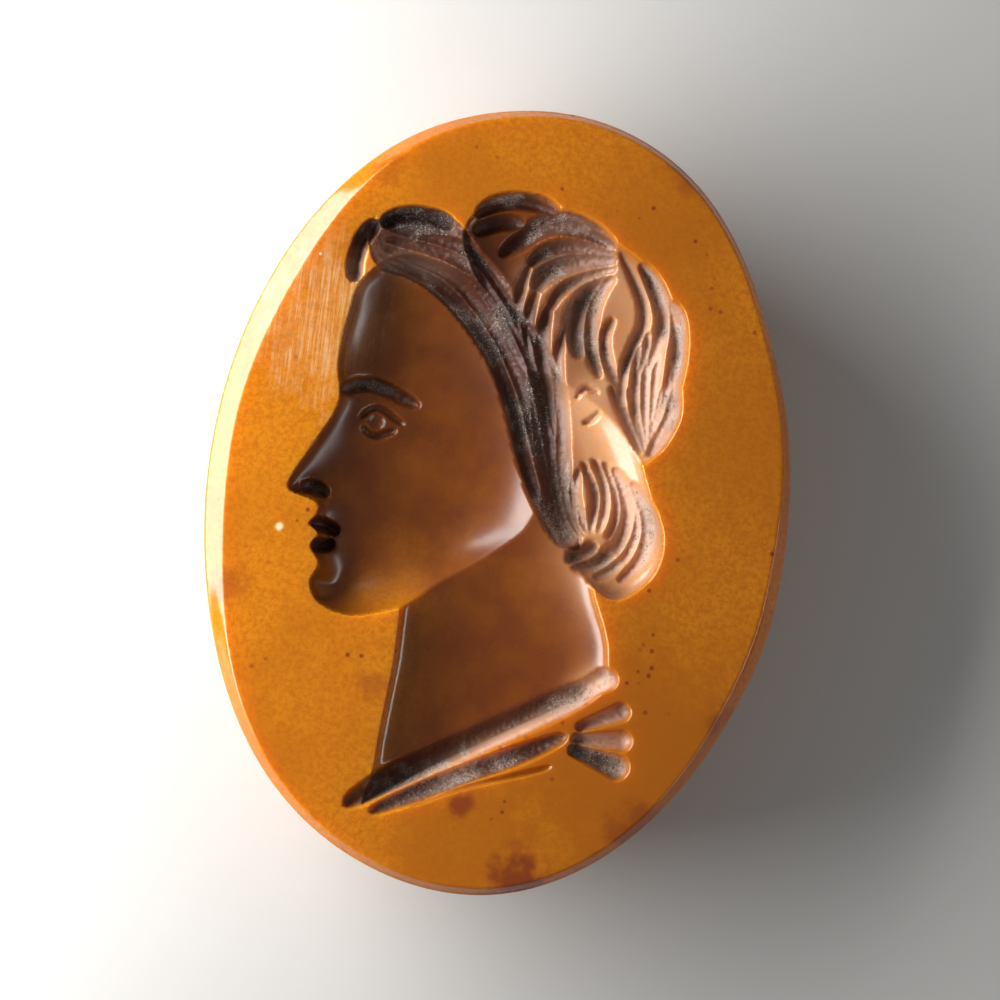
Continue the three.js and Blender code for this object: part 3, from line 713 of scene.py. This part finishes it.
class Graph(Wiring):
    """Plain words for building a material's nodes. Sizes are in millimetres."""

    def __init__(self, name):
        self.material = bpy.data.materials.new(name)
        self.material.use_nodes = True
        super().__init__(self.material.node_tree)
        self.nodes.clear()
        self.place = self.add("ShaderNodeTexCoord").outputs["Object"]
        self.shader = self.add("ShaderNodeBsdfPrincipled")
        output = self.add("ShaderNodeOutputMaterial", Surface=self.shader.outputs[0])
        output.is_active_output = True
        self.unevenness = self.noise(0.35)

    def stretched(self, scale, turn=0.0):
        """Object coordinates, squeezed along the axes to draw a pattern out."""
        turned = (0, 0, math.radians(turn))
        return self.add("ShaderNodeMapping", Vector=self.place, Scale=scale, Rotation=turned).outputs[0]

    def noise(self, size, detail=3.0, roughness=0.55, place=None):
        place = place or self.place
        scale = 1 / (size * MM)
        node = self.add("ShaderNodeTexNoise", Vector=place, Scale=scale, Detail=detail, Roughness=roughness)
        return node.outputs[0]

    def between(self, value, low, high, start=0.0, end=1.0):
        """A value that goes softly from start to end as another goes from low to high."""
        node = self.add("ShaderNodeMapRange", {"interpolation_type": "SMOOTHSTEP"}, Value=value)
        self.wire(node, From_Min=low, From_Max=high, To_Min=start, To_Max=end)
        return node.outputs[0]

    def math(self, operation, a, b):
        node = self.add("ShaderNodeMath", {"operation": operation})
        self.put(node.inputs[0], a)
        self.put(node.inputs[1], b)
        return node.outputs[0]

    def times(self, a, b):
        return self.math("MULTIPLY", a, b)

    def mix(self, factor, a, b):
        """One colour over another. A colour is a node's socket, or red, green and blue."""
        node = self.add("ShaderNodeMix", {"data_type": "RGBA"})
        self.put(node.inputs[0], factor)
        for socket, colour in ((6, a), (7, b)):
            wired = isinstance(colour, bpy.types.NodeSocket)
            self.put(node.inputs[socket], colour if wired else (*colour, 1))
        return node.outputs[2]

    def mark(self, name):
        return self.add("ShaderNodeAttribute", {"attribute_name": name}).outputs["Fac"]

    def spot(self, x, y, radius, ragged=0.5):
        """A soft-edged spot on the carved face."""
        node = self.add("ShaderNodeVectorMath", {"operation": "DISTANCE"})
        self.put(node.inputs[0], self.place)
        self.put(node.inputs[1], (x * MM, y * MM, THICKNESS * MM))
        shake = self.between(self.unevenness, 0.3, 0.7, 0, ragged * radius * MM)
        shaken = self.math("ADD", node.outputs["Value"], shake)
        return self.between(shaken, 0.55 * radius * MM, 1.3 * radius * MM, 1, 0)

    def specks(self, spread, size, share):
        """Small round specks, one in some of the cells of a foam."""
        node = self.add("ShaderNodeTexVoronoi", Vector=self.place, Scale=1 / (spread * MM))
        near = self.between(node.outputs["Distance"], 0.5 * size / spread, size / spread, 1, 0)
        some = self.add("ShaderNodeSeparateColor", Color=node.outputs["Color"]).outputs[0]
        return self.times(near, self.between(some, 1 - share, 1.02 - share))


# Places on the carved face, each with its reach, its turn and its strength: where it is paler, as pale earth
# and painted sheen; where it is darker, as maroon stone and painted shade; where painted light lets the honey
# show through the film on shaded walls; and where more or less old earth lies.
# Partly painted sheen: the paler film and grooves at the back of the head, the knot and the cloak's lobes
# stand in for walls lit by the left light; the pale granular earth in the grooves there is real.
PALE_AND_SHEEN_PLACES = (
    ((-0.6, -5.45), (1.6, 0.16), 30, 0.7),
    ((0.9, -4.35), (1.6, 0.18), 32, 0.9),
    ((2.4, 3.0), (0.9, 1.9), 0, 1.0),
    ((2.2, 0.0), (0.8, 1.3), 0, 1.0),
    ((1.9, 1.6), (0.8, 0.7), 0, 1.0),
    ((2.75, -0.7), (0.5, 0.9), 20, 0.7),
    ((1.2, 4.3), (0.8, 0.7), 0, 0.5),
    ((2.55, -3.85), (0.6, 0.4), 20, 1.0),
    ((2.6, -4.25), (0.6, 0.25), 0, 0.9),
    ((2.3, -3.2), (0.45, 0.3), 30, 0.9),
    ((2.9, -4.4), (0.3, 0.5), 0, 0.6),
    ((1.4, 2.2), (0.5, 0.5), 0, 0.6),
    ((0.7, 3.0), (0.4, 0.6), 0, 0.4),
    ((0.0, 4.15), (0.35, 0.35), 0, 0.7),
    ((-2.5, 4.25), (0.8, 0.25), 0, 0.5),
    ((-3.28, 3.85), (0.25, 0.3), 0, 0.9),
)
# Partly painted shade: the temple, the fold's upper wall and deep floors that face away from the left light
# are painted maroon; in the roll the maroon is partly the stone's own.
DARK_AND_SHADE_PLACES = (
    ((-2.1, 5.05), (1.1, 0.35), 0, 1.0),
    ((-0.7, 4.25), (0.9, 0.45), -45, 1.0),
    ((0.05, 3.1), (0.8, 0.4), -60, 1.0),
    ((0.6, 1.9), (1.0, 0.36), -72, 1.0),
    ((0.98, 0.5), (1.1, 0.33), -75, 0.7),
    ((-0.75, 2.2), (1.3, 0.45), -62, 0.7),
    ((-1.2, -5.85), (0.8, 0.2), 28, 1.0),
    ((2.4, -4.6), (0.5, 0.2), -14, 0.7),
)
# Painted light: on left walls that lie in shade, the film thins so the brighter honey shows, standing in for
# light glowing through the stone.
PAINTED_GLOW_PLACES = (
    ((-1.72, -4.0), (0.6, 2.2), -4, 0.75),
    ((-3.1, 2.7), (0.55, 1.0), -6, 0.4),
    ((-2.6, -2.1), (0.9, 0.4), 0, 0.35),
)
EARTHY_PLACES = (
    ((-2.2, 5.05), (0.9, 0.25), 0, 0.5),
    ((0.0, 2.9), (0.9, 0.15), -55, 0.7),
    ((0.75, 1.2), (1.2, 0.15), -75, 0.6),
    ((-1.4, -5.6), (0.8, 0.3), 32, 0.7),
    ((-1.1, -5.85), (0.7, 0.2), 28, 0.8),
    ((2.2, -3.25), (0.4, 0.25), 30, 0.6),
    ((2.42, -4.6), (0.5, 0.2), -14, 1.0),
    ((2.35, 4.5), (0.45, 0.13), -52, 0.8),
    ((3.02, 2.9), (0.9, 0.13), -88, 0.7),
    ((0.5, -4.35), (0.9, 0.35), 32, -0.8),
    ((-1.3, 4.1), (1.0, 0.3), -35, -0.6),
)

# Zones of painted shade in darker amber, away from the left light, and patches of red jasper: each its place,
# its radius and its strength.
AMBER_SHADE_ZONES = ((3.2, -4.6, 2.8, 0.9), (4.6, 1.8, 2.0, 0.5), (0.2, -6.6, 1.8, 0.75), (2.2, 6.0, 1.5, 0.4))
RED_PATCHES = (
    (-4.91, -2.27, 0.5, 0.4), (2.71, 6.7, 0.5, 0.45), (4.87, -3.62, 0.45, 0.5), (3.46, -5.91, 0.8, 0.55),
    (1.24, -7.13, 0.75, 0.85), (0.01, -5.81, 0.3, 0.8), (-3.0, 6.0, 0.4, 0.3), (-1.9, -3.8, 0.4, 0.4),
)

# Where dark specks are thick: each its place and its radius.
SPECKLED = ((-0.13, 6.45, 0.6), (1.86, 5.92, 0.6), (-4.52, -2.02, 0.7))


def stone_colour(g, finish):
    """Honey jasper with darker clouds, red patches, dark and pale specks, painted shade in amber and painted
    glare streaks at upper left.
    """
    honey, amber, red, pale = finish.honey, finish.amber, finish.red_brown, finish.pale_speck
    colour = g.mix(g.between(g.noise(3.4, 4.0), 0.38, 0.7, 0, 0.6), honey, amber)
    colour = g.mix(g.between(g.noise(0.09, 6.0, 0.8), 0.4, 0.62, 0, 0.75), colour, amber)
    # Painted shade: the amber zones darken the stone away from the left light.
    for x, y, radius, strength in AMBER_SHADE_ZONES:
        colour = g.mix(g.times(g.spot(x, y, radius, 0.3), strength), colour, amber)
    for x, y, radius, strength in RED_PATCHES:
        colour = g.mix(g.times(g.spot(x, y, radius), strength), colour, red)
    speckled = g.between(g.noise(1.8), 0.5, 0.62)
    for x, y, radius in SPECKLED:
        speckled = g.math("MAXIMUM", speckled, g.spot(x, y, radius))
    dark_specks = g.times(g.specks(0.22, 0.06, 0.35), speckled)
    colour = g.mix(g.times(dark_specks, 0.9), colour, red)
    colour = g.mix(g.times(g.specks(0.8, 0.04, 0.16), 0.7), colour, pale)
    colour = g.mix(g.spot(-4.08, -1.06, 0.11), colour, pale)
    # Painted glare: pale vertical streaks on the upper left stand in for the left light's glare on polishing
    # scratches.
    streaks = g.between(g.noise(0.06, 4.0, 0.65, g.stretched((1, 0.05, 1), 6)), 0.42, 0.68, 0.05, 0.4)
    painted_glare = g.times(streaks, g.spot(-3.6, 2.9, 1.9))
    return g.mix(painted_glare, colour, pale)


def jasper(finish):
    """Polished honey jasper with a duller film in the hollows and dark, earthy grooves."""
    g = Graph("jasper")
    names = ("depth", "worked", "crust", "pale", "dark")
    depth, worked, crust, pale, dark = (g.mark(name) for name in names)
    # Painted light: the clear mark thins the film on shaded left walls, so they show the brighter honey.
    clouded = g.math("SUBTRACT", g.between(g.noise(0.7, 4.0), 0.3, 0.7, 0.85, 1.0), g.mark("clear"))
    film = g.times(g.between(depth, 0.05, 0.3), clouded)
    dusted = g.between(g.noise(0.08, 4.0, 0.7), 0.4, 0.62, 0, 0.45)
    # Painted sheen: where the pale mark is high, a pale film, dusted with pale earth, stands in for the left
    # light's sheen on the back of the head and the knot.
    painted_sheen_film = g.mix(dusted, finish.film_pale_sheen, finish.crust_pale)
    colour = g.mix(film, stone_colour(g, finish), g.mix(pale, finish.film, painted_sheen_film))
    groove_floor = g.between(worked, 0.03, 0.17)
    stain = g.times(groove_floor, g.between(g.noise(0.25, 4.0), 0.3, 0.7, 0.5, 0.95))
    # Where the pale mark is high the grooves turn pale: partly pale granular earth, partly painted light on
    # walls that face the left light.
    colour = g.mix(stain, colour, g.mix(pale, finish.groove, finish.groove_pale))
    # Painted shade, with the roll's own maroon: the dark mark darkens the film towards maroon.
    colour = g.mix(g.times(g.times(dark, film), 0.75), colour, finish.maroon_and_shade)
    grain = g.noise(0.035, 3.0, 0.7)
    dusty = g.times(crust, g.between(grain, 0.42, 0.58))
    # The crust is darker where the dark mark lies, which is partly painted shade.
    tone = g.math("ADD", g.noise(0.45), g.times(dark, 0.2))
    dust = g.mix(g.between(tone, 0.45, 0.65), finish.crust_pale, finish.crust_dark)
    g.wire(g.shader, Base_Color=g.mix(dusty, colour, dust))

    haze = g.between(g.noise(0.05, 3.0, 0.6, g.stretched((1, 0.04, 1))), 0.45, 0.75, 0, 0.08)
    rough = g.math("ADD", g.times(haze, g.between(depth, 0, 0.05, 1, 0)), finish.gloss)
    for mark, more in ((film, 0.18), (groove_floor, 0.15), (crust, 0.35)):
        rough = g.math("ADD", rough, g.times(mark, more))
    g.wire(g.shader, Roughness=rough)

    height = g.times(grain, g.math("ADD", g.times(groove_floor, 0.6), 0.02))
    bump = g.add("ShaderNodeBump", Height=height, Distance=finish.grain, Strength=1.0)
    glow = g.between(film, 0, 1, finish.glow, 0.4 * finish.glow)
    g.wire(g.shader, Normal=bump.outputs[0], IOR=1.54, Subsurface_Weight=glow)
    g.wire(g.shader, Subsurface_Radius=(1.0, 0.4, 0.08), Subsurface_Scale=finish.glow_reach)
    return g.material


def old_earth(deposit):
    """Grey to brown crumbs of earth."""
    g = Graph("old_earth")
    tone = g.noise(0.06, 2.0)
    colour = g.mix(g.between(tone, 0.35, 0.65), deposit.dark, deposit.pale)
    g.wire(g.shader, Base_Color=colour, Roughness=g.between(g.noise(0.02), 0.3, 0.7, 0.7, 0.95))
    return g.material


def pale_floor(studio):
    g = Graph("pale_floor")
    tone = g.between(g.noise(30.0), 0.3, 0.7)
    shade = [0.97 * c for c in studio.floor_colour]
    g.wire(g.shader, Base_Color=g.mix(tone, studio.floor_colour, shade), Roughness=0.7)
    return g.material


def crumb_tree(material):
    """Scatters small uneven crumbs over a bed, thicker where the bed's crust mark is higher."""
    tree = bpy.data.node_groups.new("crumbs", "GeometryNodeTree")
    face = tree.interface
    face.new_socket("Geometry", in_out="INPUT", socket_type="NodeSocketGeometry")
    for name in ("Density", "Smallest", "Largest"):
        face.new_socket(name, in_out="INPUT", socket_type="NodeSocketFloat")
    face.new_socket("Seed", in_out="INPUT", socket_type="NodeSocketInt")
    face.new_socket("Geometry", in_out="OUTPUT", socket_type="NodeSocketGeometry")
    wiring = Wiring(tree)
    given = wiring.add("NodeGroupInput").outputs
    seed = given["Seed"]

    crust = wiring.add("GeometryNodeInputNamedAttribute", {"data_type": "FLOAT"}, Name="crust")
    thickness = wiring.add("ShaderNodeMath", {"operation": "MULTIPLY"})
    wiring.put(thickness.inputs[0], crust.outputs["Attribute"])
    wiring.put(thickness.inputs[1], given["Density"])
    scatter = wiring.add("GeometryNodeDistributePointsOnFaces", Mesh=given["Geometry"], Seed=seed)
    wiring.put(scatter.inputs["Density"], thickness.outputs[0])

    random, vector = "FunctionNodeRandomValue", {"data_type": "FLOAT_VECTOR"}
    size = wiring.add(random, vector, Min=given["Smallest"], Max=given["Largest"], Seed=seed)
    turn = wiring.add(random, vector, Max=(math.tau, math.tau, math.tau))
    crumb = wiring.add("GeometryNodeMeshIcoSphere", Radius=1, Subdivisions=1)
    place = wiring.add("GeometryNodeInstanceOnPoints", Points=scatter.outputs[0], Instance=crumb.outputs[0])
    wiring.wire(place, Rotation=turn.outputs[0], Scale=size.outputs[0])

    real = wiring.add("GeometryNodeRealizeInstances", Geometry=place.outputs[0])
    finish = wiring.add("GeometryNodeSetMaterial", Geometry=real.outputs[0], Material=material)
    wiring.add("NodeGroupOutput", Geometry=finish.outputs[0])
    return tree


def crusted_faces(stone, least):
    """The faces that carry a crust, as points and faces of their own, with the crust at each point."""
    mesh = stone.data
    crust = np.empty(len(mesh.vertices), np.float32)
    mesh.attributes["crust"].data.foreach_get("value", crust)
    faces = [list(f.vertices) for f in mesh.polygons if crust[list(f.vertices)].min() > least]
    used = sorted({v for f in faces for v in f})
    number = {v: k for k, v in enumerate(used)}
    return [mesh.vertices[v].co for v in used], [[number[v] for v in f] for f in faces], crust[used]


def words(name, description, default):
    """What every setting has."""
    return {"name": name, "description": description, "default": default}


def colour_of(*given):
    return FloatVectorProperty(**words(*given), subtype="COLOR", min=0, max=1)


def length_of(*given):
    return FloatProperty(**words(*given), unit="LENGTH", precision=6, min=0)


def power_of(*given):
    return FloatProperty(**words(*given), unit="POWER", precision=4, min=0)


def share_of(*given):
    return FloatProperty(**words(*given), subtype="FACTOR", min=0, max=1)


def angle_of(name, description, degrees):
    return FloatProperty(**words(name, description, math.radians(degrees)), subtype="ANGLE")


class StoneSettings(bpy.types.PropertyGroup):
    """How finely the stone is cut, and its colours."""

    step: length_of("Finest step", "Distance between mesh points in the hair and the cloak", 0.000025)
    tooth: length_of("Tooth", "Roughness that the wheels leave in the grooves", 0.000013)
    grain: length_of("Grain", "Height of the finest roughness in the grooves", 0.00002)
    honey: colour_of("Honey", "The stone's main colour", (0.60, 0.205, 0.006))
    # Amber also paints the shade zones away from the left light.
    amber: colour_of("Amber", "The stone's darker clouds", (0.40, 0.115, 0.004))
    red_brown: colour_of("Red-brown", "Patches and specks of red jasper", (0.21, 0.032, 0.008))
    # The pale speck colour also paints the glare streaks on the upper left.
    pale_speck: colour_of("Pale speck", "Small pale inclusions and worn streaks", (0.80, 0.62, 0.38))
    film: colour_of("Film", "The duller surface inside the hollows", (0.15, 0.034, 0.005))
    # Painted sheen: a pale film that stands in for light on the walls at the back of the head.
    film_pale_sheen: colour_of("Pale film", "The same at the back of the head", (0.68, 0.31, 0.12))
    groove: colour_of("Groove", "The dark floors of the grooves", (0.085, 0.028, 0.018))
    groove_pale: colour_of("Pale groove", "The same at the back of the head", (0.57, 0.335, 0.24))
    # Maroon: partly the roll's own dark stone, partly painted shade where the dark mark lies.
    maroon_and_shade: colour_of("Maroon", "The darkest stone, in the roll of hair", (0.04, 0.009, 0.006))
    crust_pale: colour_of("Pale crust", "Dry earth on the groove floors", (0.45, 0.35, 0.28))
    crust_dark: colour_of("Dark crust", "Greenish grey earth", (0.075, 0.065, 0.05))
    gloss: share_of("Gloss", "Roughness of the polish", 0.1)
    glow: share_of("Glow", "How much light the stone lets in", 0.6)
    glow_reach: length_of("Glow reach", "How far red light goes into the stone", 0.001)


class DepositSettings(bpy.types.PropertyGroup):
    """The crumbs of earth in the grooves."""

    density: FloatProperty(name="Density", description="Crumbs to a square millimetre", default=330, min=0)
    smallest: length_of("Smallest", "Least radius of a crumb", 0.000006)
    largest: length_of("Largest", "Greatest radius of a crumb", 0.000018)
    seed: IntProperty(name="Seed", description="Changes where the crumbs lie", default=7)
    pale: colour_of("Pale", "The palest crumbs", (0.42, 0.39, 0.36))
    dark: colour_of("Dark", "The darkest crumbs", (0.12, 0.085, 0.07))


class StudioSettings(bpy.types.PropertyGroup):
    """The floor, the lights and the camera."""

    floor_size: length_of("Floor size", "Length of each side of the floor", 0.6)
    floor_colour: colour_of("Floor colour", "Colour of the floor", (0.62, 0.61, 0.59))
    key_power: power_of("Left light", "Power of the near soft light", 0.0242)
    edge_power: power_of("Right light", "Power of the narrow light", 0.003)
    sky: FloatProperty(name="Sky", description="Strength of the light from all round", default=0.13, min=0)
    distance: length_of("Distance", "From the camera to the stone's face", 0.1053)
    lens: FloatProperty(name="Lens", description="Focal length in millimetres", default=200, min=1)
    lean_left: angle_of("Lean left", "How far the camera leans left", 4)
    lean_down: angle_of("Lean down", "How far it leans towards the bust's foot", 3)
    roll: angle_of("Roll", "How far the stone leans right in the picture", 7.7)


def place_marks(places, points):
    """The strength at each point of a list of places."""
    x, y = points[:, 0] / MM, points[:, 1] / MM
    return sum(dish(*place)(x, y) for place in places)


def crust_marks(points, worked):
    """How thick old earth lies: on the groove floors, in patches."""
    x, y = points[:, 0] / MM, points[:, 1] / MM
    patches = noise(31, 0.45)(x, y) + 0.5 * noise(32, 0.15)(x, y) + place_marks(EARTHY_PLACES, points)
    return smoothstep(worked, 0.1, 0.22) * smoothstep(patches, -0.1, 0.6)


class RINGSTONE_OT_cut_stone(bpy.types.Operator):
    """Cut the stone and its carved bust"""

    bl_idname = "ring_stone.cut_stone"
    bl_label = "Cut the Stone"

    def execute(self, context):
        settings = context.scene.ring_stone
        points, faces, (depth, worked) = stone_mesh(Carving(settings.tooth / MM), settings.step / MM)
        stone = new_object("gemstone_carved", points, faces, jasper(settings))
        give(stone.data, "depth", depth)
        give(stone.data, "worked", worked)
        give(stone.data, "crust", crust_marks(points, worked))
        # The pale mark: pale earth and painted sheen.
        give(stone.data, "pale", np.clip(place_marks(PALE_AND_SHEEN_PLACES, points), 0, 1))
        # The dark mark: maroon stone and painted shade.
        give(stone.data, "dark", np.clip(place_marks(DARK_AND_SHADE_PLACES, points), 0, 1))
        # The clear mark: painted light through the film on shaded walls.
        give(stone.data, "clear", np.clip(place_marks(PAINTED_GLOW_PLACES, points), 0, 1))
        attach(stone, BODY)
        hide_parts(NODE)
        return {"FINISHED"}


class RINGSTONE_OT_lay_crumbs(bpy.types.Operator):
    """Lay crumbs of old earth on the groove floors"""

    bl_idname = "ring_stone.lay_crumbs"
    bl_label = "Lay the Crumbs"

    def execute(self, context):
        settings = context.scene.ring_stone_deposit
        stone = bpy.data.objects["gemstone_carved"]
        material = old_earth(settings)
        points, faces, crust = crusted_faces(stone, LEAST_CRUST)
        crumbs = new_object("groove_deposit", points, faces, material)
        give(crumbs.data, "crust", crust)
        modifier = crumbs.modifiers.new("crumbs", "NODES")
        modifier.node_group = crumb_tree(material)
        values = {
            "Density": settings.density / MM**2, "Smallest": settings.smallest, "Largest": settings.largest,
            "Seed": settings.seed,
        }
        for item in modifier.node_group.interface.items_tree:
            if item.in_out == "INPUT" and item.name in values:
                modifier[item.identifier] = values[item.name]
        bed = crumbs.data
        evaluated = crumbs.evaluated_get(context.evaluated_depsgraph_get())
        crumbs.data = bpy.data.meshes.new_from_object(evaluated)
        crumbs.modifiers.clear()
        bpy.data.meshes.remove(bed)
        if not crumbs.data.polygons:
            raise RuntimeError("no crumbs were laid")
        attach(crumbs, BODY)
        return {"FINISHED"}


def soft_light(name, power, size, azimuth, elevation, distance):
    """A flat soft light that looks at the stone from a direction."""
    a, e = math.radians(azimuth), math.radians(elevation)
    away = Vector((math.cos(a) * math.cos(e), math.sin(a) * math.cos(e), math.sin(e)))
    data = bpy.data.lights.new(name, "AREA")
    data.shape = "RECTANGLE"
    data.size, data.size_y = size
    data.energy = power
    light = bpy.data.objects.new(name, data)
    light.location = away * distance
    light.rotation_euler = away.to_track_quat("Z", "Y").to_euler()
    bpy.context.scene.collection.objects.link(light)


class RINGSTONE_OT_set_up_studio(bpy.types.Operator):
    """Set up the floor, the soft lights and the camera"""

    bl_idname = "ring_stone.set_up_studio"
    bl_label = "Set Up the Studio"

    def execute(self, context):
        settings = context.scene.ring_stone_studio
        half = settings.floor_size / 2
        corners = [(-half, -half, 0), (half, -half, 0), (half, half, 0), (-half, half, 0)]
        floor = new_object("floor", corners, [[0, 1, 2, 3]], pale_floor(settings))
        soft_light("left_light", settings.key_power, *LEFT_LIGHT)
        soft_light("right_light", settings.edge_power, *RIGHT_LIGHT)
        world = bpy.data.worlds.new("studio")
        world.use_nodes = True
        world.node_tree.nodes["Background"].inputs["Strength"].default_value = settings.sky
        world.node_tree.nodes["Background"].inputs["Color"].default_value = (1, 1, 1, 1)
        context.scene.world = world
        context.scene.view_settings.view_transform = "Standard"

        data = bpy.data.cameras.new("camera")
        data.lens = settings.lens
        data.sensor_width = 36
        data.clip_start = 0.001
        camera = bpy.data.objects.new("camera", data)
        context.scene.collection.objects.link(camera)
        target = Vector((0, 0, HIGHEST.z))
        away = Vector((-math.tan(settings.lean_left), -math.tan(settings.lean_down), 1)).normalized()
        up = Vector((-math.sin(settings.roll), math.cos(settings.roll), 0))
        right = up.cross(away).normalized()
        up = away.cross(right)
        turned = Matrix((right, up, away)).transposed()
        camera.matrix_world = Matrix.Translation(target + away * settings.distance) @ turned.to_4x4()
        context.scene.camera = camera
        return {"FINISHED"}


class RINGSTONE_PT_panel(bpy.types.Panel):
    """The stone's steps and settings in the sidebar"""

    bl_idname = "RINGSTONE_PT_panel"
    bl_label = "Ring Stone"
    bl_space_type = "VIEW_3D"
    bl_region_type = "UI"
    bl_category = "Ring Stone"

    def draw(self, context):
        scene = context.scene
        for group, operator in (
            (scene.ring_stone, RINGSTONE_OT_cut_stone),
            (scene.ring_stone_deposit, RINGSTONE_OT_lay_crumbs),
            (scene.ring_stone_studio, RINGSTONE_OT_set_up_studio),
        ):
            box = self.layout.box()
            for name in group.__annotations__:
                box.prop(group, name)
            box.operator(operator.bl_idname)


CLASSES = (
    StoneSettings,
    DepositSettings,
    StudioSettings,
    RINGSTONE_OT_cut_stone,
    RINGSTONE_OT_lay_crumbs,
    RINGSTONE_OT_set_up_studio,
    RINGSTONE_PT_panel,
)


def register():
    for cls in CLASSES:
        bpy.utils.register_class(cls)
    bpy.types.Scene.ring_stone = PointerProperty(type=StoneSettings)
    bpy.types.Scene.ring_stone_deposit = PointerProperty(type=DepositSettings)
    bpy.types.Scene.ring_stone_studio = PointerProperty(type=StudioSettings)


def unregister():
    del bpy.types.Scene.ring_stone_studio
    del bpy.types.Scene.ring_stone_deposit
    del bpy.types.Scene.ring_stone
    for cls in reversed(CLASSES):
        bpy.utils.unregister_class(cls)


def main():
    register()
    bpy.ops.ring_stone.cut_stone()
    bpy.ops.ring_stone.lay_crumbs()
    bpy.ops.ring_stone.set_up_studio()


if __name__ == "__main__":
    main()
